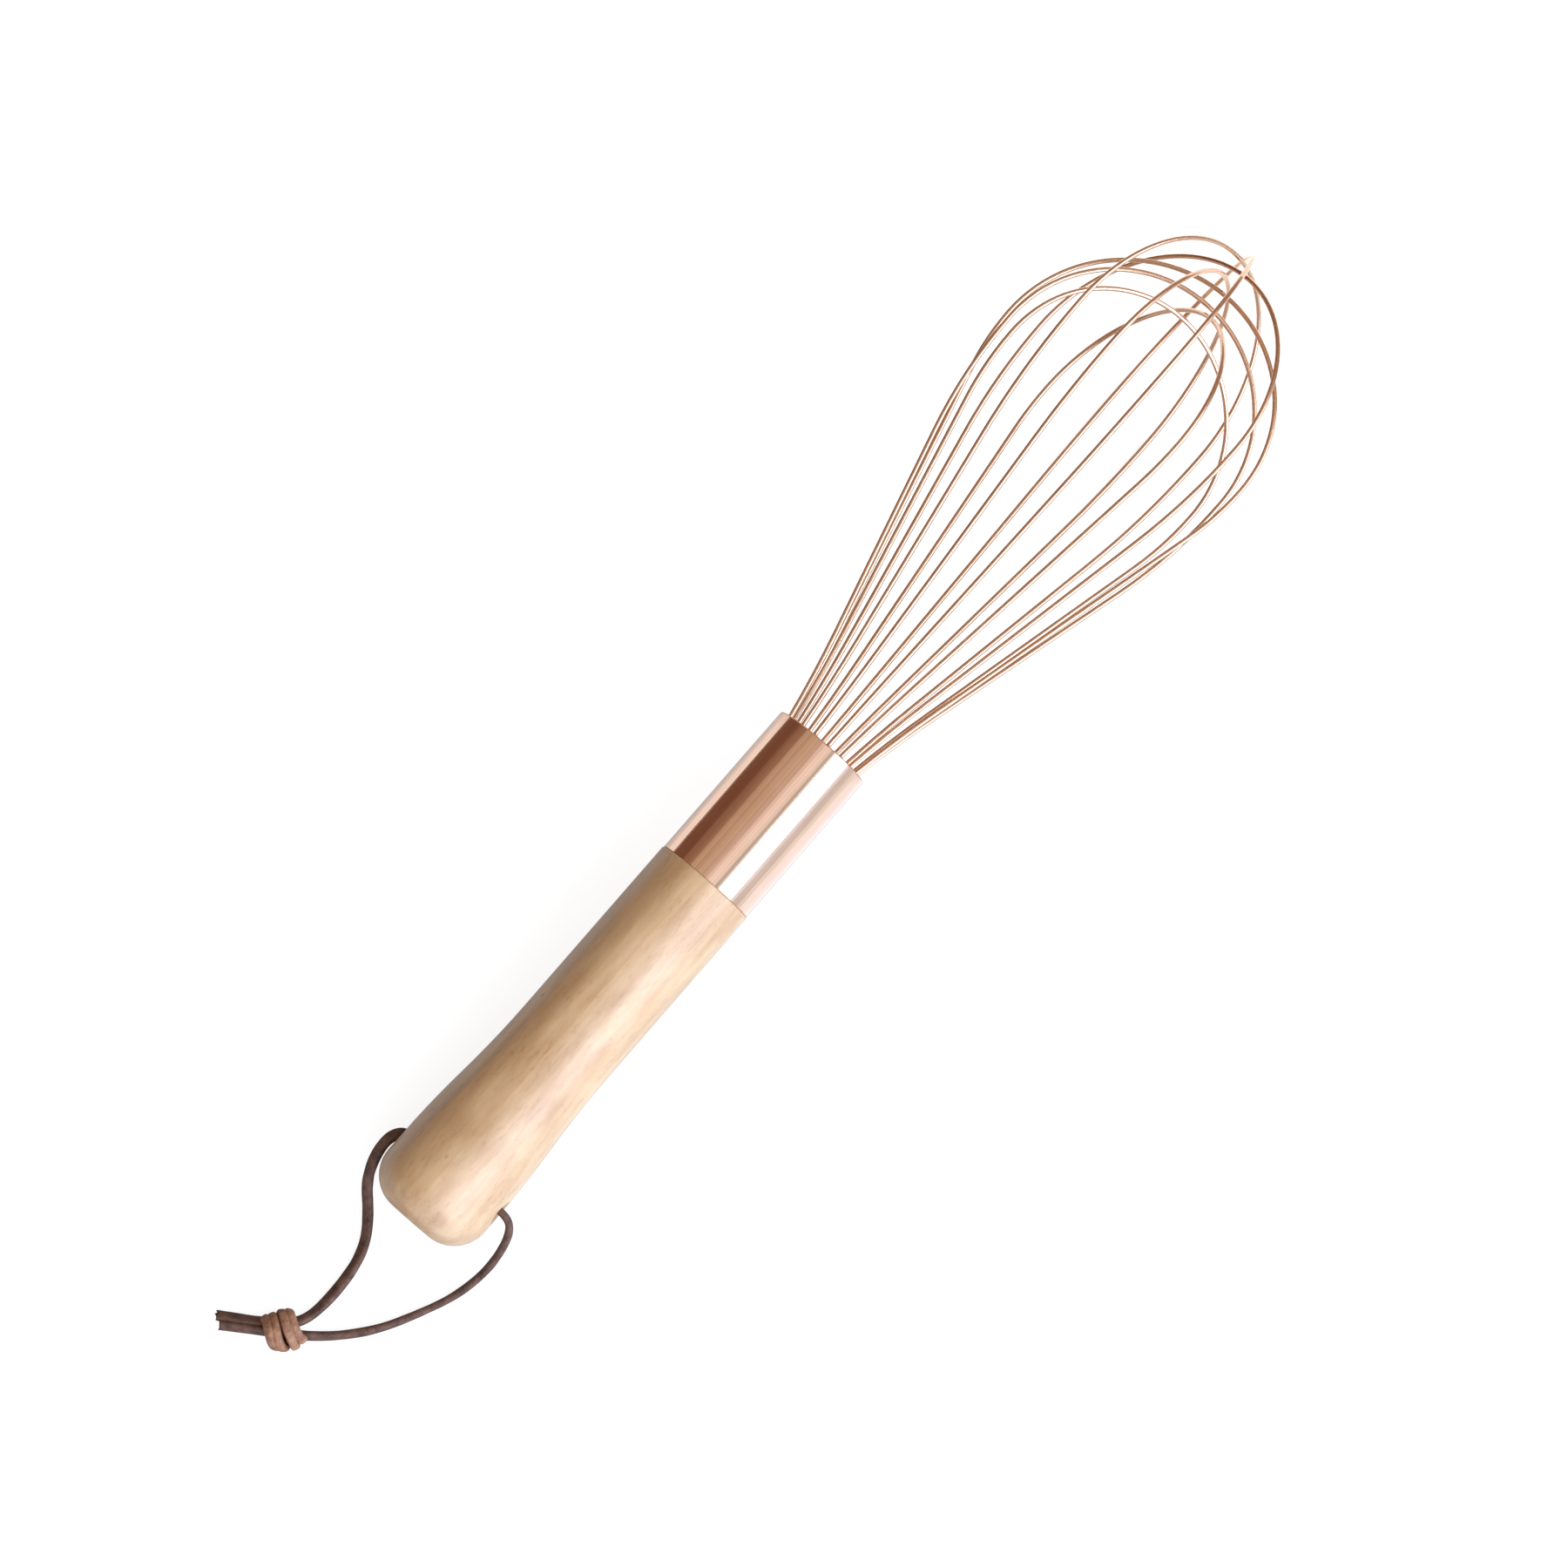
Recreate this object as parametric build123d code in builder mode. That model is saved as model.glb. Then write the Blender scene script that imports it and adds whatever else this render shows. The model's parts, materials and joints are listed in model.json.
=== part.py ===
from build123d import *
import os
from math import asin, atan2, cos, degrees, pi, radians, sin, tan

os.makedirs("parts", exist_ok=True)

# Balloon whisk, lying at rest on a table.
# The frame is in millimetres. Z = 0 is the table, +X runs from the butt of the handle to the
# tip of the wires, and the origin is under the middle of the whisk.
# Distances named "from the butt" are measured along the whisk's own axis, which rises a
# little towards the tip, because the balloon of wires is fatter than the handle.

# Handle: turned beech
HANDLE_LENGTH = 106.0
GRIP_RADIUS = 13.1
BUTT_RADIUS = 15.0
BUTT_ROUND = 9.5
FLARE_START = 56.0
FLARE_END = 13.0
SHOULDER_CHAMFER = 0.4
TENON_LENGTH = 16.0
TENON_CHAMFER = 0.6

# Cross hole for the lace
HOLE_FROM_BUTT = 15.3
HOLE_RADIUS = 2.5
HOLE_MOUTH_RADIUS = 3.7
HOLE_MOUTH_DEPTH = 1.0

# Ferrule: a thin metal sleeve with a hemmed mouth
FERRULE_LENGTH = 42.5
FERRULE_RADIUS = 12.9
FERRULE_WALL = 0.5
HEM_WALL = 0.9
HEM_LENGTH = 1.4
HEM_EDGE = 0.4
SLIDING_GAP = 0.05

# Filling of the ferrule: a core plug, with resin poured round the feet of the wires
CORE_RADIUS = 8.6
SEAL_FLOOR = 9.0
SEAL_RECESS = 1.5

# Wires
WIRE_RADIUS = 0.6
WIRE_FOOT_RADIUS = 9.65
WIRE_FOOT_DEPTH = 26.0
ROOT_BEND_DEPTH = 8.5
ROOT_BEND_RADIUS = 45.0
ROOT_TURN = 10.4
FLARE_BEND_RADIUS = 300.0
FLARE_TURN = 4.6
SHOULDER_TURN = 45.0
BORE_CLEARANCE = 0.05

# Each loop: its turn about the whisk's axis from level in degrees, the height of its apex
# above the ferrule's mouth, and its greatest half width
LOOPS = [
    (-78.75, 148.5, 35.8),
    (-56.25, 154.5, 35.6),
    (-33.75, 134.5, 34.4),
    (-11.25, 141.0, 33.8),
    (11.25, 145.5, 36.8),
    (33.75, 152.0, 36.0),
    (56.25, 138.5, 36.0),
    (78.75, 156.5, 36.1),
]
RESTING_LOOP = LOOPS[0]
WIDEST_SHARE = 0.72
WIDEST_OFFSET = 5.7

# Lace: one leather thong, modelled as two halves that meet in the middle of the hole
LACE_RADIUS = 1.2
KNOT_CENTRE = (-190.4, 7.4, 4.3)
KNOT_DIRECTION = (-0.66, 0.75, 0.0)
KNOT_REACH = 5.0
KNOT_RADIUS = 4.3
KNOT_END = 2.0
KNOT_BORE_CLEARANCE = 0.06
ARC_SHARE = 0.45
LACE_LEFT = [
    (-136.8, 0.0, 15.4),
    (-136.8, 8.0, 15.4),
    (-137.0, 16.8, 15.7),
    (-140.2, 20.0, 14.3),
    (-145.4, 19.6, 8.8),
    (-150.4, 17.2, 3.2),
    (-155.2, 12.6, 1.3),
    (-160.2, 7.8, 1.3),
    (-168.2, 4.6, 1.3),
    (-178.6, 4.0, 1.3),
    (-185.4, 5.0, 2.2),
    (-189.2, 8.2, 3.4),
    (-193.7, 15.0, 2.2),
    (-197.3, 21.8, 1.3),
]
LACE_RIGHT = [
    (-136.8, 0.0, 15.4),
    (-136.8, -8.0, 15.4),
    (-136.6, -17.2, 15.7),
    (-138.6, -21.0, 14.2),
    (-143.7, -21.9, 8.4),
    (-149.8, -20.8, 2.8),
    (-157.9, -18.0, 1.3),
    (-166.3, -14.3, 1.3),
    (-175.4, -9.7, 1.3),
    (-182.4, -4.0, 1.3),
    (-187.2, 0.8, 2.2),
    (-191.5, 6.4, 3.4),
    (-195.9, 12.6, 2.2),
    (-199.8, 19.0, 1.3),
]

MOUTH_FROM_BUTT = HANDLE_LENGTH + FERRULE_LENGTH


def foot_to_flare():
    """End of the flare bend of a strand: (height above the mouth, radius)."""
    height = -ROOT_BEND_DEPTH + ROOT_BEND_RADIUS * sin(radians(ROOT_TURN))
    radius = WIRE_FOOT_RADIUS + ROOT_BEND_RADIUS * (1 - cos(radians(ROOT_TURN)))
    full_turn = radians(ROOT_TURN + FLARE_TURN)
    height += FLARE_BEND_RADIUS * (sin(full_turn) - sin(radians(ROOT_TURN)))
    radius += FLARE_BEND_RADIUS * (cos(radians(ROOT_TURN)) - cos(full_turn))
    return height, radius


def loop_shape(apex, half_width):
    """Arc radii and straight length of one strand from its flare to its apex."""
    flare_height, flare_radius = foot_to_flare()
    flare = radians(ROOT_TURN + FLARE_TURN)
    widest = WIDEST_SHARE * apex + WIDEST_OFFSET
    rise = half_width - flare_radius
    belly = (tan(flare) * (widest - flare_height) - rise) / (1 / cos(flare) - 1)
    straight = (widest - belly * sin(flare) - flare_height) / cos(flare)
    cap = apex - widest
    s, c = sin(radians(SHOULDER_TURN)), cos(radians(SHOULDER_TURN))
    shoulder = (cap * c - half_width * (1 - s)) / (s * c - (1 - s) * (1 - c))
    crown = (cap - shoulder * s) / (1 - s)
    return widest, straight, belly, shoulder, crown


def resting_tilt():
    """Rise of the whisk's axis, and the height of the butt's centre, when the butt and the
    two lowest strands lie on the table."""
    turn, apex, half_width = RESTING_LOOP
    widest, _, belly, _, _ = loop_shape(apex, half_width)
    side = sin(radians(abs(turn)))
    tilt = 0.0
    for _ in range(30):
        butt_height = BUTT_ROUND + (BUTT_RADIUS - BUTT_ROUND) * cos(tilt) - BUTT_ROUND * sin(tilt)
        slope = atan2(tan(tilt), side)
        along = MOUTH_FROM_BUTT + widest - belly * sin(slope)
        below = (half_width - belly * (1 - cos(slope))) * side * cos(tilt) + WIRE_RADIUS
        tilt = asin((below - butt_height) / along)
    return tilt, butt_height


TILT, BUTT_HEIGHT = resting_tilt()


def reach(turn, apex, half_width):
    """How far a loop reaches in X from the butt's centre."""
    crown = loop_shape(apex, half_width)[4]
    in_plane = (cos(TILT) ** 2 + (sin(TILT) * sin(radians(turn))) ** 2) ** 0.5
    return (MOUTH_FROM_BUTT + apex - crown) * cos(TILT) + crown * in_plane + WIRE_RADIUS


butt_overhang = BUTT_ROUND * (1 - cos(TILT)) + (BUTT_RADIUS - BUTT_ROUND) * sin(TILT)
BUTT_X = -(max(reach(*loop) for loop in LOOPS) - butt_overhang) / 2

axis_direction = Vector(cos(TILT), 0, sin(TILT))
up_direction = Vector(-sin(TILT), 0, cos(TILT))
right_direction = Vector(0, -1, 0)
butt_centre = Vector(BUTT_X, 0, BUTT_HEIGHT)
whisk_axis = Axis(butt_centre, axis_direction)
profile_plane = Plane(butt_centre, x_dir=axis_direction, z_dir=(0, -1, 0))


def loop_plane(turn):
    """Plane of one loop: local x along the whisk, local y across it."""
    across = right_direction * cos(radians(turn)) + up_direction * sin(radians(turn))
    return Plane(butt_centre, x_dir=axis_direction, z_dir=axis_direction.cross(across))


# handle
hole_centre = butt_centre + axis_direction * HOLE_FROM_BUTT
tenon_radius = FERRULE_RADIUS - FERRULE_WALL - SLIDING_GAP
flare_middle = ((FLARE_START + FLARE_END) / 2, (GRIP_RADIUS + BUTT_RADIUS) / 2)
with BuildPart() as handle:
    with BuildSketch(profile_plane):
        with BuildLine():
            end_face = Line((0, 0), (0, BUTT_RADIUS - BUTT_ROUND))
            JernArc(end_face @ 1, (0, 1), BUTT_ROUND, -90)
            Line((BUTT_ROUND, BUTT_RADIUS), (FLARE_END, BUTT_RADIUS))
            TangentArc((FLARE_END, BUTT_RADIUS), flare_middle, tangent=(1, 0))
            TangentArc((FLARE_START, GRIP_RADIUS), flare_middle, tangent=(-1, 0))
            Polyline(
                (FLARE_START, GRIP_RADIUS),
                (HANDLE_LENGTH - SHOULDER_CHAMFER, GRIP_RADIUS),
                (HANDLE_LENGTH, GRIP_RADIUS - SHOULDER_CHAMFER),
                (HANDLE_LENGTH, tenon_radius),
                (HANDLE_LENGTH + TENON_LENGTH - TENON_CHAMFER, tenon_radius),
                (HANDLE_LENGTH + TENON_LENGTH, tenon_radius - TENON_CHAMFER),
                (HANDLE_LENGTH + TENON_LENGTH, 0),
                (0, 0),
            )
        make_face()
    revolve(axis=whisk_axis)
    with BuildSketch(Plane(hole_centre, x_dir=axis_direction, z_dir=up_direction)):
        with BuildLine():
            Polyline(
                (0, -BUTT_RADIUS - HOLE_MOUTH_DEPTH),
                (HOLE_MOUTH_RADIUS + HOLE_MOUTH_DEPTH, -BUTT_RADIUS - HOLE_MOUTH_DEPTH),
                (HOLE_RADIUS, HOLE_MOUTH_RADIUS - HOLE_RADIUS - BUTT_RADIUS),
                (HOLE_RADIUS, BUTT_RADIUS - HOLE_MOUTH_RADIUS + HOLE_RADIUS),
                (HOLE_MOUTH_RADIUS + HOLE_MOUTH_DEPTH, BUTT_RADIUS + HOLE_MOUTH_DEPTH),
                (0, BUTT_RADIUS + HOLE_MOUTH_DEPTH),
                close=True,
            )
        make_face()
    revolve(axis=Axis(hole_centre, (0, 1, 0)), mode=Mode.SUBTRACT)

# ferrule
with BuildPart() as ferrule:
    with BuildSketch(profile_plane):
        with BuildLine():
            Polyline(
                (HANDLE_LENGTH, FERRULE_RADIUS),
                (MOUTH_FROM_BUTT, FERRULE_RADIUS),
                (MOUTH_FROM_BUTT, FERRULE_RADIUS - HEM_WALL),
                (MOUTH_FROM_BUTT - HEM_LENGTH, FERRULE_RADIUS - HEM_WALL),
                (MOUTH_FROM_BUTT - HEM_LENGTH, FERRULE_RADIUS - FERRULE_WALL),
                (HANDLE_LENGTH, FERRULE_RADIUS - FERRULE_WALL),
                close=True,
            )
        make_face()
    revolve(axis=whisk_axis)
    mouth_edges = ferrule.edges().filter_by(GeomType.CIRCLE).group_by(whisk_axis)[-1]
    fillet(mouth_edges, HEM_EDGE)

# core_plug
plug_start = HANDLE_LENGTH + TENON_LENGTH
with BuildPart() as core_plug:
    with BuildSketch(Plane(butt_centre + axis_direction * plug_start, z_dir=axis_direction)):
        Circle(CORE_RADIUS)
    extrude(amount=MOUTH_FROM_BUTT - SEAL_FLOOR - plug_start)


def strand_path(plane, side, chain):
    """Edges of a strand drawn from its foot: each link is (length or radius, turn)."""
    pen = plane.from_local_coords((MOUTH_FROM_BUTT - WIRE_FOOT_DEPTH, side * WIRE_FOOT_RADIUS))
    heading = axis_direction
    for size, turn in chain:
        if turn == 0:
            link = Line(pen, pen + heading * size)
        else:
            link = JernArc(pen, heading, size, side * turn)
        pen, heading = link @ 1, link % 1


root_chain = [
    (WIRE_FOOT_DEPTH - ROOT_BEND_DEPTH, 0),
    (ROOT_BEND_RADIUS, ROOT_TURN),
]


def wire_loop(turn, apex, half_width):
    """One loop of wire, from foot to foot."""
    _, straight, belly, shoulder, crown = loop_shape(apex, half_width)
    flare = ROOT_TURN + FLARE_TURN
    rising = root_chain + [
        (FLARE_BEND_RADIUS, FLARE_TURN),
        (straight, 0),
        (belly, -flare),
        (shoulder, -SHOULDER_TURN),
    ]
    chain = rising + [(crown, 2 * SHOULDER_TURN - 180)] + rising[::-1]
    plane = loop_plane(turn)
    foot = plane.from_local_coords((MOUTH_FROM_BUTT - WIRE_FOOT_DEPTH, WIRE_FOOT_RADIUS))
    with BuildPart() as loop:
        with BuildLine(plane) as path:
            strand_path(plane, 1, chain)
        with BuildSketch(Plane(foot, z_dir=axis_direction)):
            Circle(WIRE_RADIUS)
        sweep(path=path.wire())
    return loop.part


# resin_seal
seal_inside = CORE_RADIUS + SLIDING_GAP
seal_outside = FERRULE_RADIUS - FERRULE_WALL - SLIDING_GAP
hem_start = MOUTH_FROM_BUTT - HEM_LENGTH
with BuildPart() as resin_seal:
    with BuildSketch(profile_plane):
        with BuildLine():
            Polyline(
                (plug_start, seal_inside),
                (MOUTH_FROM_BUTT - SEAL_FLOOR, seal_inside),
                (MOUTH_FROM_BUTT - SEAL_FLOOR, 0),
                (MOUTH_FROM_BUTT - SEAL_RECESS, 0),
                (MOUTH_FROM_BUTT - SEAL_RECESS, seal_outside),
                (plug_start, seal_outside),
                close=True,
            )
        make_face()
    revolve(axis=whisk_axis)
    for turn, _, _ in LOOPS:
        for side in (1, -1):
            plane = loop_plane(turn)
            with BuildLine(plane) as root:
                strand_path(plane, side, root_chain)
            with BuildSketch(Plane(root.wire() @ 0, z_dir=axis_direction)):
                Circle(WIRE_RADIUS + BORE_CLEARANCE)
            sweep(path=root.wire(), mode=Mode.SUBTRACT)

# wire_loop_1 to wire_loop_8
wire_loops = [wire_loop(*loop) for loop in LOOPS]


def lace_radii(points):
    """Radius of the largest arc that fits each corner of a route."""
    runs = [Vector(b) - Vector(a) for a, b in zip(points, points[1:])]
    radii = []
    for before, after in zip(runs, runs[1:]):
        half_turn = radians(before.get_angle(after)) / 2
        radii.append(ARC_SHARE * min(before.length, after.length) / tan(half_turn))
    return radii


def lace_tube(points, radius):
    """The lace as a round tube: straight runs joined by tangent arcs."""
    with BuildPart() as tube:
        with BuildLine() as path:
            FilletPolyline(*points, radius=lace_radii(points))
        with BuildSketch(Plane(path.wire() @ 0, z_dir=path.wire() % 0)):
            Circle(radius)
        sweep(path=path.wire())
    return tube.part


# lace_left and lace_right
lace_left = lace_tube(LACE_LEFT, LACE_RADIUS)
lace_right = lace_tube(LACE_RIGHT, LACE_RADIUS)

# knot: a rounded body that both halves of the lace run through
knot_centre = Vector(*KNOT_CENTRE)
knot_direction = Vector(*KNOT_DIRECTION)
knot_bores = [
    lace_tube(route, LACE_RADIUS + KNOT_BORE_CLEARANCE) for route in (LACE_LEFT, LACE_RIGHT)
]
with BuildPart() as knot:
    with BuildSketch(Plane(knot_centre, x_dir=knot_direction, z_dir=(0, 0, 1))):
        with BuildLine():
            Polyline((KNOT_REACH, KNOT_END), (KNOT_REACH, 0), (-KNOT_REACH, 0), (-KNOT_REACH, KNOT_END))
            ThreePointArc((-KNOT_REACH, KNOT_END), (0, KNOT_RADIUS), (KNOT_REACH, KNOT_END))
        make_face()
    revolve(axis=Axis(knot_centre, knot_direction))
    add(knot_bores, mode=Mode.SUBTRACT)

pieces = {
    "handle": handle.part,
    "ferrule": ferrule.part,
    "core_plug": core_plug.part,
    "resin_seal": resin_seal.part,
    "lace_left": lace_left,
    "lace_right": lace_right,
    "knot": knot.part,
}
for number, loop in enumerate(wire_loops, start=1):
    pieces[f"wire_loop_{number}"] = loop

for name, piece in pieces.items():
    piece.label = name
    export_step(piece, f"parts/{name}.step")

print(f"tilt {degrees(TILT):.3f} degrees, butt centre {BUTT_X:.2f}, {BUTT_HEIGHT:.2f}")
print("hole centre", hole_centre)
for name, route, tube in (("left", LACE_LEFT, lace_left), ("right", LACE_RIGHT, lace_right)):
    section = pi * LACE_RADIUS**2
    print(name, "lace length from volume", round(tube.volume / section, 1))
    print("  radii", [round(radius, 1) for radius in lace_radii(route)])
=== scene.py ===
import json
from math import cos, pi, radians, sin

import bmesh
import bpy
from mathutils import Matrix, Vector, noise


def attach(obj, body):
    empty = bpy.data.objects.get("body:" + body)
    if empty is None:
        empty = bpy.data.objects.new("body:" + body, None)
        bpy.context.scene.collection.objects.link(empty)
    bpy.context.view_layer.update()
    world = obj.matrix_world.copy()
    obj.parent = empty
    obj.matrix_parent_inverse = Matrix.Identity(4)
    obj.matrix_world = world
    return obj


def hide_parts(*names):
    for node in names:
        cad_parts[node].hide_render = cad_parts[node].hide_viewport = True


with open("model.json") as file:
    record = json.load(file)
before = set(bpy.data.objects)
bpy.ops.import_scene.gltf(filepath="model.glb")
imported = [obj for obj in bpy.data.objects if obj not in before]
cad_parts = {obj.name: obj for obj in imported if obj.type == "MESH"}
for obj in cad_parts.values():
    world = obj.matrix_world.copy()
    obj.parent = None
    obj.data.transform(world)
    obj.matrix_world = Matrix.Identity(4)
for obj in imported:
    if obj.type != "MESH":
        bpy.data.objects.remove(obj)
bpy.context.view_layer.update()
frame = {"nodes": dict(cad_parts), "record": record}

# Balloon whisk on a white table, in metres. The whisk lies along +X with its tip raised a
# little: its own axis and the butt of its handle come from the imported record.
MM = 0.001
mounts = {mount["name"]: mount for mount in frame["record"]["mounts"]}
BUTT = Vector(mounts["butt_face"]["pos_m"])
AXIS = -Vector(mounts["butt_face"]["axis"]).normalized()
RIGHT = Vector((0, -1, 0))
UP = RIGHT.cross(AXIS)
MOUTH_FROM_BUTT_IN_MM = 148.5
MOUTH = BUTT + AXIS * MOUTH_FROM_BUTT_IN_MM * MM

# Camera: high above the whisk, leaning to its right and to its butt
CAMERA_LEAN_RIGHT = radians(6.9)
CAMERA_LEAN_BUTT = radians(4.81)
CAMERA_ROLL = radians(48.98)
CAMERA_DISTANCE = 1.4
CAMERA_LENS = 135.3
AIM_RIGHT = -1.15 * MM
AIM_ALONG = -12.6 * MM

# Lace: one leather thong, as two halves that meet in the middle of the hole
THONG_WIDTH = 2.8 * MM
THONG_THICKNESS = 1.9 * MM
RAGGED_END = 0.8 * MM
LACE_LEFT = [
    (-0.1368, 0.0, 0.0154),
    (-0.1368, 0.0080, 0.0154),
    (-0.1370, 0.0146, 0.0154),
    (-0.1402, 0.0170, 0.0149),
    (-0.1456, 0.0169, 0.0128),
    (-0.1513, 0.0150, 0.0076),
    (-0.1562, 0.0103, 0.0025),
    (-0.1618, 0.0062, 0.0013),
    (-0.1686, 0.0041, 0.0013),
    (-0.1786, 0.0036, 0.0013),
    (-0.1856, 0.0046, 0.0022),
    (-0.1892, 0.0078, 0.0034),
    (-0.1935, 0.0136, 0.0024),
    (-0.1980, 0.0212, 0.0013),
]
LACE_RIGHT = [
    (-0.1368, 0.0, 0.0154),
    (-0.1368, -0.0080, 0.0154),
    (-0.1364, -0.0158, 0.0156),
    (-0.1377, -0.0189, 0.0143),
    (-0.1419, -0.0202, 0.0096),
    (-0.1486, -0.0203, 0.0037),
    (-0.1574, -0.0185, 0.0013),
    (-0.1658, -0.0149, 0.0013),
    (-0.1750, -0.0102, 0.0013),
    (-0.1822, -0.0044, 0.0013),
    (-0.1874, 0.0012, 0.0022),
    (-0.1912, 0.0064, 0.0034),
    (-0.1948, 0.0123, 0.0024),
    (-0.1992, 0.0191, 0.0013),
]
SECTION_SIDES = 20
SECTION_SQUARENESS = 0.75
WEAR_SCALE, WEAR_DEPTH = 260, 0.07
TEAR_SCALE = 1300

# Knot: both halves of the thong wrap side by side round themselves, twice over the top.
# The angles are in degrees round the knot's axis, from its across direction over the top.
KNOT_CENTRE = Vector((-190.6, 6.6, 4.4)) * MM
KNOT_AXIS = Vector((-0.66, 0.75, 0)).normalized()
KNOT_BARREL = 5.6 * MM
WRAP_SPREAD = 4.2 * MM
WRAP_HEIGHT = 3.35 * MM
WRAP_PITCH = 4.1 * MM
WRAP_SWAY = 0.5 * MM
WRAP_GAPE = 0.45 * MM
GAPE_AT = 40
WRAP_FROM = -110
WRAP_TO = 610
WRAP_DIVE = 100
FIRST_CREST = 90
BETWEEN_WRAPS = 270
DIVE_ALONG, DIVE_LANE, DIVE_REACH = 0.5, 0.4, 0.25
REACH_WAVE, REACH_WAVE_RATE = 0.06, 0.7
LANE_OFFSET = 0.88 * MM
WRAP_WIDTH = 2.3 * MM
WRAP_STEP = 5


def make_camera():
    """The camera stands at the photograph's viewing angle."""
    leaning = UP * cos(CAMERA_LEAN_RIGHT) + RIGHT * sin(CAMERA_LEAN_RIGHT)
    back = leaning * cos(CAMERA_LEAN_BUTT) - AXIS * sin(CAMERA_LEAN_BUTT)
    along = AXIS * cos(CAMERA_LEAN_BUTT) + leaning * sin(CAMERA_LEAN_BUTT)
    across = along.cross(back)
    view_right = along * cos(CAMERA_ROLL) + across * sin(CAMERA_ROLL)
    view_up = along * sin(CAMERA_ROLL) - across * cos(CAMERA_ROLL)
    data = bpy.data.cameras.new("camera")
    data.lens = CAMERA_LENS
    camera = bpy.data.objects.new("camera", data)
    bpy.context.scene.collection.objects.link(camera)
    rotation = Matrix((view_right, view_up, back)).transposed()
    aim = MOUTH + across * AIM_RIGHT + along * AIM_ALONG
    camera.matrix_world = Matrix.Translation(aim + back * CAMERA_DISTANCE) @ rotation.to_4x4()
    bpy.context.scene.camera = camera


def add_object(name, data):
    """A new object in the scene that holds this mesh or curve."""
    obj = bpy.data.objects.new(name, data)
    bpy.context.scene.collection.objects.link(obj)
    return obj


def spline_line(points):
    """The smooth line of one open NURBS spline through a route's control points."""
    curve = bpy.data.curves.new("route", "CURVE")
    curve.dimensions = "3D"
    curve.resolution_u = 24
    spline = curve.splines.new("NURBS")
    spline.points.add(len(points) - 1)
    for point, place in zip(spline.points, points):
        point.co = (*place, 1)
    spline.order_u = 3
    spline.use_endpoint_u = True
    holder = bpy.data.objects.new("route", curve)
    mesh = bpy.data.meshes.new_from_object(holder)
    line = [vertex.co.copy() for vertex in mesh.vertices]
    bpy.data.meshes.remove(mesh)
    bpy.data.curves.remove(curve)
    return line


def carried_frames(line, first_side):
    """(tangent, side) at each point of a line, with no more twist than the line itself has."""
    frames = []
    side = Vector(first_side)
    for i in range(len(line)):
        tangent = (line[min(i + 1, len(line) - 1)] - line[max(i - 1, 0)]).normalized()
        side = (side - tangent * side.dot(tangent)).normalized()
        frames.append((tangent, side))
    return frames


def flat_oval(angle, width, thickness):
    """A point of the thong's section: an oval with flattened faces."""
    c, s = cos(angle), sin(angle)
    return (
        width / 2 * abs(c) ** SECTION_SQUARENESS * (1 if c > 0 else -1),
        thickness / 2 * abs(s) ** SECTION_SQUARENESS * (1 if s > 0 else -1),
    )


def thong_mesh(name, line, frames, width, twist=lambda t: 0.0):
    """A leather thong along a line. Its flat face follows the frames' side, turned by twist(t),
    with t from 0 to 1 along it."""
    mesh = bpy.data.meshes.new(name)
    bm = bmesh.new()
    rings = []
    for i, (centre, (tangent, side)) in enumerate(zip(line, frames)):
        t = i / (len(line) - 1)
        other = tangent.cross(side)
        wear = noise.noise(centre * WEAR_SCALE) * WEAR_DEPTH
        ragged = RAGGED_END if i == len(line) - 1 else 0.0
        c, s = cos(twist(t)), sin(twist(t))
        ring = []
        for k in range(SECTION_SIDES):
            x, y = flat_oval(2 * pi * k / SECTION_SIDES, width, THONG_THICKNESS)
            offset = side * (x * c - y * s) + other * (x * s + y * c)
            tear = tangent * ragged * noise.noise((centre + offset) * TEAR_SCALE)
            ring.append(bm.verts.new(centre + offset * (1 + wear) + tear))
        rings.append(ring)
    for low, high in zip(rings, rings[1:]):
        for k in range(SECTION_SIDES):
            after = (k + 1) % SECTION_SIDES
            bm.faces.new((low[k], low[after], high[after], high[k]))
    bm.faces.new(rings[0][::-1])
    bm.faces.new(rings[-1])
    bm.to_mesh(mesh)
    bm.free()
    for polygon in mesh.polygons:
        polygon.use_smooth = len(polygon.vertices) == 4
    return mesh


def smooth_step(t):
    """0 up to t = 0, 1 from t = 1 on, and a smooth rise between them."""
    t = min(1.0, max(0.0, t))
    return t * t * (3 - 2 * t)


def wrap_line(lane):
    """One strand of the knot's wraps, as (point, side of its flat face). It comes up out of the
    knot's core, goes twice over the top and dives back. The lane, -1 or 1, is its side of the
    pair."""
    up = Vector((0, 0, 1))
    across = up.cross(KNOT_AXIS)
    line = []
    for degrees in range(WRAP_FROM, WRAP_TO + 1, WRAP_STEP):
        angle = radians(degrees)
        out = smooth_step((degrees - WRAP_FROM) / WRAP_DIVE)
        out *= smooth_step((WRAP_TO - degrees) / WRAP_DIVE)
        along = WRAP_PITCH * ((degrees - FIRST_CREST) / 360 - 0.5) - WRAP_SWAY * cos(angle)
        gape = WRAP_GAPE * max(0.0, cos(angle - radians(GAPE_AT))) ** 2
        along += gape if degrees > BETWEEN_WRAPS else -gape
        along *= DIVE_ALONG + (1 - DIVE_ALONG) * out
        along += LANE_OFFSET * lane * (DIVE_LANE + (1 - DIVE_LANE) * out)
        slope = along / KNOT_BARREL
        reach = (1 - slope * slope) ** 0.5 * (DIVE_REACH + (1 - DIVE_REACH) * out)
        reach *= 1 + REACH_WAVE * sin(angle * REACH_WAVE_RATE + lane)
        radial = across * cos(angle) * WRAP_SPREAD + up * sin(angle) * WRAP_HEIGHT
        point = KNOT_CENTRE + KNOT_AXIS * along + radial * reach
        line.append((point, KNOT_AXIS - radial.normalized() * slope))
    return line


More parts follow.
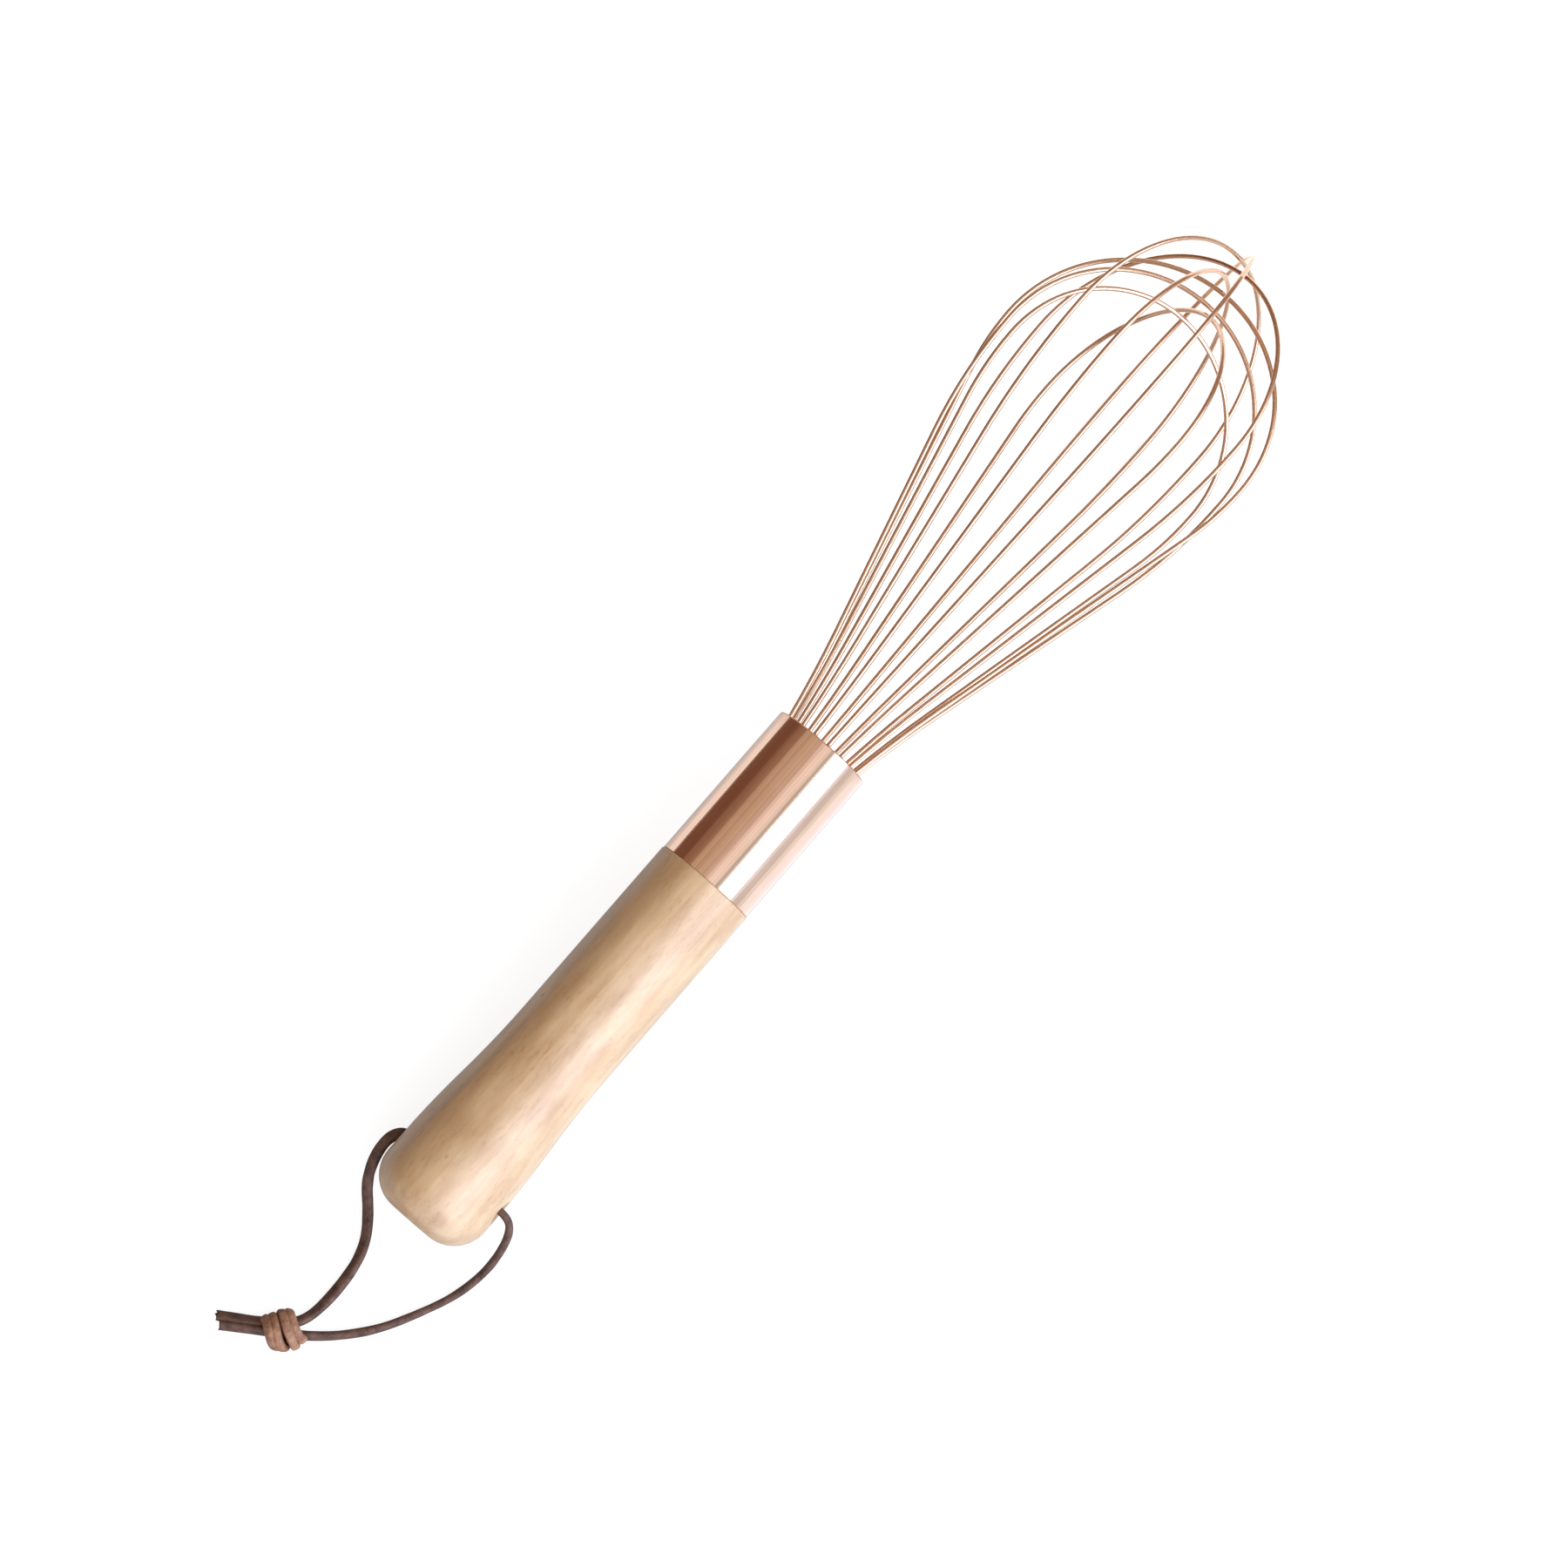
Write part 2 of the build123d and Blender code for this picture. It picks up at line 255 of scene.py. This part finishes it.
def make_knot(leather):
    """The overhand knot that ties the two halves together."""
    wraps = []
    for name, lane in (("knot_strand_a", -1), ("knot_strand_b", 1)):
        points, sides = zip(*wrap_line(lane))
        frames = []
        for (tangent, _), side in zip(carried_frames(points, KNOT_AXIS), sides):
            frames.append((tangent, (side - tangent * tangent.dot(side)).normalized()))
        wrap = add_object(name, thong_mesh(name, points, frames, WRAP_WIDTH))
        wrap.data.materials.append(leather)
        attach(wrap, "hanging_loop")
        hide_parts("knot")
        wraps.append(wrap)
    return wraps


def make_lace(side, route, twist, leather):
    """One half of the lace, from the middle of the hole through the knot to its tail's end."""
    line = spline_line(route)
    frames = carried_frames(line, (0, 0, 1))
    lace = add_object(f"thong_{side}", thong_mesh(f"thong_{side}", line, frames, THONG_WIDTH, twist))
    lace.data.materials.append(leather)
    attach(lace, "hanging_loop")
    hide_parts(f"lace_{side}")


# Materials


class Nodes:
    """A short way to write a node tree."""

    def __init__(self, tree):
        self.tree = tree
        tree.nodes.clear()

    def add(self, kind, **inputs):
        """A node with its inputs set: a number, a colour, or another node's output."""
        node = self.tree.nodes.new(kind)
        for name, value in inputs.items():
            key = int(name[1:]) if name[0] == "_" else name.replace("_", " ")
            self.feed(node.inputs[key], value)
        return node

    def feed(self, socket, value):
        """Sets one input to a number or a colour, or links it to another node's output."""
        if isinstance(value, bpy.types.NodeSocket):
            self.tree.links.new(value, socket)
        else:
            socket.default_value = value

    def math(self, operation, a, b=0.0):
        node = self.add("ShaderNodeMath", _0=a, _1=b)
        node.operation = operation
        return node.outputs[0]

    def ramp(self, value, stops):
        """Colours or grey levels along a value: stops are (position, colour or grey)."""
        node = self.add("ShaderNodeValToRGB", Fac=value)
        elements = node.color_ramp.elements
        while len(elements) < len(stops):
            elements.new(0.5)
        for element, (position, colour) in zip(elements, stops):
            element.position = position
            element.color = (*colour, 1) if isinstance(colour, tuple) else (colour, colour, colour, 1)
        return node.outputs["Color"]

    def noise(self, vector, scale, detail=4.0, roughness=0.55):
        node = self.add("ShaderNodeTexNoise", Vector=vector, Scale=scale, Detail=detail)
        node.inputs["Roughness"].default_value = roughness
        return node.outputs["Fac"]

    def mix(self, factor, a, b):
        """From colour a to colour b as the factor goes from 0 to 1."""
        node = self.tree.nodes.new("ShaderNodeMix")
        node.data_type = "RGBA"
        for index, value in ((0, factor), (6, a), (7, b)):
            self.feed(node.inputs[index], (*value, 1) if isinstance(value, tuple) else value)
        return node.outputs[2]

    def step(self, value, start, end):
        """0 up to the start, 1 from the end on, and a straight slope between them."""
        return self.add("ShaderNodeMapRange", Value=value, From_Min=start, From_Max=end).outputs[0]

    def whisk_place(self, stretch=(1, 1, 1)):
        """A point in the whisk's own frame, x along its axis from the butt."""
        place = self.add("ShaderNodeTexCoord").outputs["Object"]
        node = self.add("ShaderNodeMapping", Vector=place)
        node.vector_type = "TEXTURE"
        node.inputs["Location"].default_value = BUTT
        node.inputs["Rotation"].default_value = Matrix((AXIS, -RIGHT, UP)).transposed().to_euler()
        node.inputs["Scale"].default_value = [1 / s for s in stretch]
        return node.outputs["Vector"]

    def bump(self, height, distance, strength=1.0):
        node = self.add("ShaderNodeBump", Height=height, Distance=distance, Strength=strength)
        return node.outputs["Normal"]

    def surface(self, **inputs):
        shader = self.add("ShaderNodeBsdfPrincipled", **inputs)
        self.add("ShaderNodeOutputMaterial", Surface=shader.outputs["BSDF"])

    def two_shaders(self, factor, first, second):
        """The first shader where the factor is 0 and the second where it is 1."""
        both = self.add("ShaderNodeMixShader", _0=factor)
        self.tree.links.new(first.outputs[0], both.inputs[1])
        self.tree.links.new(second.outputs[0], both.inputs[2])
        return both.outputs[0]


def new_material(name):
    """An empty material and a writer for its nodes."""
    material = bpy.data.materials.new(name)
    material.use_nodes = True
    return material, Nodes(material.node_tree)


def copper(name, bright, dull, streak_scale, relief, roughness_low, roughness_high):
    """Polished copper plate with draw lines along the whisk and a faint uneven tarnish."""
    material, n = new_material(name)
    lines = n.noise(n.whisk_place((0.004, 1, 1)), streak_scale, 4, 0.65)
    waves = n.noise(n.whisk_place((0.003, 1, 1)), streak_scale * 0.35, 2, 0.5)
    streaks = n.math("ADD", n.math("MULTIPLY", lines, 0.2), n.math("MULTIPLY", waves, 0.9))
    smudges = n.noise(n.whisk_place(), 90, 3)
    plate = n.mix(n.ramp(smudges, [(0.3, 0.0), (0.7, 0.35)]), bright, dull)
    colour = n.mix(n.ramp(lines, [(0.40, 0.65), (0.60, 0.0)]), plate, dull)
    gloss = n.math("ADD", n.math("MULTIPLY", lines, roughness_high - roughness_low), roughness_low)
    n.surface(Base_Color=colour, Metallic=1.0, Roughness=gloss, Normal=n.bump(streaks, relief))
    return material


# Growth rings of the beech: radians of their wave per metre, and how far it wanders
RING_RATE = 1350.0
RING_WANDER = 10 * MM


def beech():
    """Oiled beech: soft growth figure, short ray flecks and fine pores, on a satin surface."""
    material, n = new_material("beech")
    drift = n.noise(n.whisk_place((0.16, 1, 1)), 75, 3)
    figure = n.noise(n.whisk_place((0.10, 1, 1)), 300, 4, 0.6)
    split = n.add("ShaderNodeSeparateXYZ", Vector=n.whisk_place())
    height = n.math("ADD", split.outputs["Z"], n.math("MULTIPLY", drift, RING_WANDER))
    rings = n.math("SINE", n.math("MULTIPLY", height, RING_RATE))
    rings = n.math("ADD", n.math("MULTIPLY", rings, 0.5), 0.5)
    base = n.ramp(figure, [(0.30, (0.353, 0.189, 0.081)), (0.70, (0.502, 0.304, 0.157))])
    base = n.mix(n.math("MULTIPLY", rings, 0.30), base, (0.295, 0.143, 0.056))
    rays = n.noise(n.whisk_place((0.30, 1, 1)), 1500, 2, 0.5)
    rays = n.ramp(rays, [(0.57, 0.0), (0.68, 1.0)])
    base = n.mix(n.math("MULTIPLY", rays, 0.30), base, (0.214, 0.097, 0.037))
    clouds = n.noise(n.whisk_place((0.35, 1, 1)), 160, 3)
    base = n.mix(n.ramp(clouds, [(0.40, 0.0), (0.68, 0.55)]), base, (0.549, 0.365, 0.205))
    pins = n.add("ShaderNodeTexVoronoi", Vector=n.whisk_place((0.6, 1, 1)), Scale=60.0)
    knots = n.ramp(pins.outputs["Distance"], [(0.018, 0.80), (0.040, 0.0)])
    base = n.mix(knots, base, (0.180, 0.085, 0.040))
    pores = n.noise(n.whisk_place((0.07, 1, 1)), 2400, 2)
    relief = n.math("SUBTRACT", pores, n.math("MULTIPLY", rays, 0.4))
    n.surface(
        Base_Color=base,
        Roughness=n.ramp(figure, [(0.3, 0.36), (0.75, 0.48)]),
        Specular_IOR_Level=0.7,
        Normal=n.bump(relief, 0.03 * MM, 0.6),
        Coat_Weight=0.35,
        Coat_Roughness=0.48,
    )
    return material


WORN_BRIGHTER = 1.9


def leather(name, dark, light):
    """Oiled leather: pebbled grain, blotches and paler scuffs."""
    material, n = new_material(name)
    place = n.add("ShaderNodeTexCoord").outputs["Object"]
    grain = n.add("ShaderNodeTexVoronoi", Vector=place, Scale=2600.0)
    grain.feature = "DISTANCE_TO_EDGE"
    cells = n.ramp(grain.outputs["Distance"], [(0.0, 0.0), (0.25, 1.0)])
    blotches = n.noise(place, 420, 4)
    scuffs = n.noise(place, 1500, 3, 0.7)
    colour = n.ramp(blotches, [(0.32, dark), (0.72, light)])
    worn = tuple(min(1.0, c * WORN_BRIGHTER) for c in light)
    colour = n.mix(n.ramp(scuffs, [(0.55, 0.0), (0.80, 0.55)]), colour, worn)
    height = n.math("ADD", n.math("MULTIPLY", cells, 0.5), scuffs)
    n.surface(
        Base_Color=colour,
        Roughness=n.ramp(scuffs, [(0.3, 0.50), (0.7, 0.72)]),
        Normal=n.bump(height, 0.08 * MM, 0.8),
        Specular_IOR_Level=0.35,
    )
    return material


def cast_resin():
    """Tan cast resin with a slightly wavy skin and small bubbles."""
    material, n = new_material("cast_resin")
    place = n.add("ShaderNodeTexCoord").outputs["Object"]
    clouds = n.noise(place, 300, 4)
    bubbles = n.add("ShaderNodeTexVoronoi", Vector=place, Scale=1100.0)
    pits = n.ramp(bubbles.outputs["Distance"], [(0.10, 0.0), (0.22, 1.0)])
    colour = n.ramp(clouds, [(0.3, (0.36, 0.24, 0.15)), (0.7, (0.50, 0.36, 0.24))])
    height = n.math("ADD", n.math("MULTIPLY", clouds, 2.0), pits)
    n.surface(
        Base_Color=colour,
        Roughness=n.ramp(clouds, [(0.3, 0.18), (0.7, 0.30)]),
        Normal=n.bump(height, 0.06 * MM, 0.5),
    )
    return material


def plug_plastic():
    """Pale moulded plastic with a fine spark-eroded texture."""
    material, n = new_material("plug_plastic")
    place = n.add("ShaderNodeTexCoord").outputs["Object"]
    speckle = n.noise(place, 3500, 2)
    tone = n.ramp(n.noise(place, 150, 2), [(0.3, (0.60, 0.57, 0.50)), (0.7, (0.68, 0.65, 0.58))])
    n.surface(
        Base_Color=tone,
        Roughness=n.ramp(speckle, [(0.3, 0.5), (0.7, 0.65)]),
        Normal=n.bump(speckle, 0.03 * MM, 0.5),
    )
    return material


def finish_node(node, material):
    """A CAD node keeps its shape and takes a better material."""
    obj = frame["nodes"][node]
    obj.data.materials.clear()
    obj.data.materials.append(material)


# Studio


# The table's edges, past which the reflections show the room instead
TABLE_HALF_LENGTH = 0.6
TABLE_RIGHT = -0.085
TABLE_LEFT = 0.19
TABLE_DROP = 0.05 * MM

# Light of the table: as the camera sees it, as the metal mirrors it, and as it lights the
# whisk, warm on the +Y side and cool on the other. The metal mirrors it darker under the
# balloon and close to the ferrule, a painted shade and a painted shadow of the whisk in the
# table's glow, and brighter beyond the tip.
TABLE_SEEN = (1.10, 1.10, 1.10)
MIRRORED_LEFT = (1.05, 1.20, 1.20)
MIRRORED_RIGHT = (1.15, 1.45, 1.65)
BOUNCE_LEFT = (0.26, 0.18, 0.12)
BOUNCE_RIGHT = (0.62, 0.66, 0.68)
PAINTED_SHADE_UNDER_BALLOON = (0.45, 0.40, 0.31)
BEYOND_TIP = (1.50, 1.50, 1.45)
PAINTED_SHADOW_UNDER_FERRULE = (0.40, 0.40, 0.40)
SHADOW_DEPTH = 0.22

# Where these meet, each as the start and the end of a slope across or along the table
MIDDLE = (-0.01, 0.01)
# SHADE_LEFT and SHADE_RIGHT are the edges of the whisk's painted shadow in the table's mirrored glow
SHADE_LEFT = (0.015, 0.075)
SHADE_RIGHT = (0.012, 0.022)
BALLOON_BEGINS = (0.0, 0.02)
TIP_PASSED = (0.115, 0.150)


def add_floor():
    """A white light table under the whisk, on which the whisk still throws a faint shadow."""
    mesh = bpy.data.meshes.new("light_table")
    corners = [
        (x, y, 0)
        for x, y in (
            (-TABLE_HALF_LENGTH, TABLE_RIGHT),
            (TABLE_HALF_LENGTH, TABLE_RIGHT),
            (TABLE_HALF_LENGTH, TABLE_LEFT),
            (-TABLE_HALF_LENGTH, TABLE_LEFT),
        )
    ]
    mesh.from_pydata(corners, [], [(0, 1, 2, 3)])
    floor = add_object("light_table", mesh)
    floor.location.z = -TABLE_DROP
    material, n = new_material("light_table")
    ray = n.add("ShaderNodeLightPath").outputs
    place = n.add("ShaderNodeTexCoord").outputs["Object"]
    split = n.add("ShaderNodeSeparateXYZ", Vector=place).outputs
    left = n.step(split["Y"], *MIDDLE)
    # Painted shadow of the whisk: the mirrored glow is darkened close to the ferrule's line, and
    # painted shade darkens it under the balloon
    open_left = n.step(split["Y"], *SHADE_LEFT)
    open_right = n.step(n.math("MULTIPLY", split["Y"], -1.0), *SHADE_RIGHT)
    outside_painted_shadow = n.math("ADD", open_left, open_right)
    beside = n.mix(outside_painted_shadow, PAINTED_SHADOW_UNDER_FERRULE, n.mix(left, MIRRORED_RIGHT, MIRRORED_LEFT))
    mirrored = n.mix(n.step(split["X"], *BALLOON_BEGINS), beside, PAINTED_SHADE_UNDER_BALLOON)
    mirrored = n.mix(n.step(split["X"], *TIP_PASSED), mirrored, BEYOND_TIP)
    paper = n.noise(place, 40, 2)
    sheet = n.add("ShaderNodeBsdfDiffuse", Color=n.ramp(paper, [(0.3, 0.86), (0.7, 0.88)]))
    level = n.mix(ray["Is Diffuse Ray"], mirrored, n.mix(left, BOUNCE_RIGHT, BOUNCE_LEFT))
    level = n.mix(ray["Is Camera Ray"], level, TABLE_SEEN)
    glow = n.add("ShaderNodeEmission", Color=level)
    lit_sheet = n.two_shaders(1 - SHADOW_DEPTH, sheet, glow)
    n.add("ShaderNodeOutputMaterial", Surface=lit_sheet)
    mesh.materials.append(material)


# Brightness of the studio around the whisk: angle from straight up towards -Y in degrees,
# and the light's colour there. A warm dark wall is on the +Y side, softboxes on the other.
# Most levels follow colours measured across the photo's ferrule, divided by the copper's own.
STUDIO = [
    (-180, (0.20, 0.11, 0.07)),
    (-66, (0.20, 0.11, 0.07)),
    (-58, (0.30, 0.20, 0.13)),
    (-45, (0.34, 0.24, 0.16)),
    (-38, (0.57, 0.48, 0.37)),
    (-33, (0.62, 0.54, 0.42)),
    (-28, (0.54, 0.46, 0.34)),
    (-16, (0.66, 0.60, 0.47)),
    (-8, (0.57, 0.50, 0.40)),
    (-3, (0.58, 0.51, 0.42)),
    (5, (0.90, 0.92, 0.88)),
    (20, (1.05, 1.12, 1.12)),
    (24, (1.00, 1.10, 1.10)),
    (28, (0.60, 0.70, 0.68)),
    (38, (0.60, 0.74, 0.78)),
    (41, (4.80, 5.20, 6.20)),
    (73, (4.80, 5.20, 6.20)),
    (77, (1.10, 1.50, 1.80)),
    (84, (0.70, 0.84, 0.94)),
    (96, (0.78, 0.92, 0.98)),
    (104, (0.98, 1.18, 1.25)),
    (180, (0.98, 1.18, 1.25)),
]

# The same studio as dull surfaces are lit by it: with large soft sheets hung in front, so the
# light grows evenly from the warm wall to the cool softboxes. Its angles and first levels came
# from a least-squares solve against the photo's handle. The levels were then changed.
SOFTENED = [
    (-180, (0.20, 0.13, 0.08)),
    (-60, (0.16, 0.10, 0.06)),
    (-30, (0.38, 0.25, 0.16)),
    (-5, (0.90, 0.72, 0.56)),
    (15, (1.90, 2.05, 2.05)),
    (35, (3.00, 3.70, 4.70)),
    (55, (3.40, 4.35, 6.00)),
    (75, (2.60, 3.35, 4.90)),
    (95, (1.40, 1.90, 2.70)),
    (180, (1.40, 1.90, 2.70)),
]
STUDIO_PEAK = 8.0

# The dim ends of the studio, and how far along X they begin and are full
STUDIO_ENDS = (0.45, 0.36, 0.28)
ENDS_REACH = (0.40, 0.80)
BACKDROP = 1.05


def dimmed(colour):
    """A colour brought below 1 for a ramp, to be multiplied by STUDIO_PEAK again."""
    return tuple(c / STUDIO_PEAK for c in colour)


def light_studio():
    """A round studio: its light changes with the angle about the X axis. Metal mirrors it with
    dim ends, dull surfaces are lit by the softened one, and the camera itself sees a plain pale
    backdrop."""
    world = bpy.data.worlds.new("studio")
    world.use_nodes = True
    bpy.context.scene.world = world
    n = Nodes(world.node_tree)
    direction = n.add("ShaderNodeTexCoord").outputs["Generated"]
    split = n.add("ShaderNodeSeparateXYZ", Vector=direction)
    sideways = n.math("MULTIPLY", split.outputs["Y"], -1.0)
    angle = n.math("ARCTAN2", sideways, split.outputs["Z"])
    share = n.math("ADD", n.math("DIVIDE", angle, 2 * pi), 0.5)
    mirrored, softened = (
        n.ramp(share, [((degrees + 180) / 360, dimmed(colour)) for degrees, colour in stops])
        for stops in (STUDIO, SOFTENED)
    )
    endways = n.step(n.math("ABSOLUTE", split.outputs["X"]), *ENDS_REACH)
    ray = n.add("ShaderNodeLightPath").outputs
    light = n.mix(endways, mirrored, dimmed(STUDIO_ENDS))
    light = n.mix(ray["Is Diffuse Ray"], light, softened)
    studio = n.add("ShaderNodeBackground", Color=light, Strength=STUDIO_PEAK)
    backdrop = n.add("ShaderNodeBackground", Color=(1, 1, 1, 1), Strength=BACKDROP)
    room = n.two_shaders(ray["Is Camera Ray"], studio, backdrop)
    n.add("ShaderNodeOutputWorld", Surface=room)


def turned(start, end):
    """A twist of the thong that goes smoothly from one angle to another, in degrees."""
    return lambda t: radians(start + (end - start) * smooth_step(t))


make_camera()
bpy.context.scene.view_settings.view_transform = "Standard"

thong_leather = leather("oiled_leather", (0.043, 0.018, 0.011), (0.128, 0.060, 0.036))
# The knot is tied from the same thong: its copy of the leather is painted about three times lighter,
# painted light on the raised knot against the thong's darker copy
painted_lit_knot_leather = leather("leather_of_knot_painted_lighter", (0.130, 0.051, 0.025), (0.330, 0.158, 0.083))
knot_strands = make_knot(painted_lit_knot_leather)
make_lace("left", LACE_LEFT, turned(90, 90), thong_leather)
make_lace("right", LACE_RIGHT, turned(0, 90), thong_leather)

sleeve_bright, sleeve_dull = (0.93, 0.60, 0.47), (0.72, 0.42, 0.31)
wire_bright, wire_dull = (0.85, 0.55, 0.40), (0.57, 0.36, 0.26)
copper_sleeve = copper("copper_sleeve", sleeve_bright, sleeve_dull, 2400.0, 0.035 * MM, 0.06, 0.14)
copper_wire = copper("copper_wire", wire_bright, wire_dull, 2600.0, 0.012 * MM, 0.12, 0.26)
finish_node("handle", beech())
finish_node("ferrule", copper_sleeve)
finish_node("core_plug", plug_plastic())
finish_node("resin_seal", cast_resin())
for number in range(1, 9):
    finish_node(f"wire_loop_{number}", copper_wire)

add_floor()
light_studio()
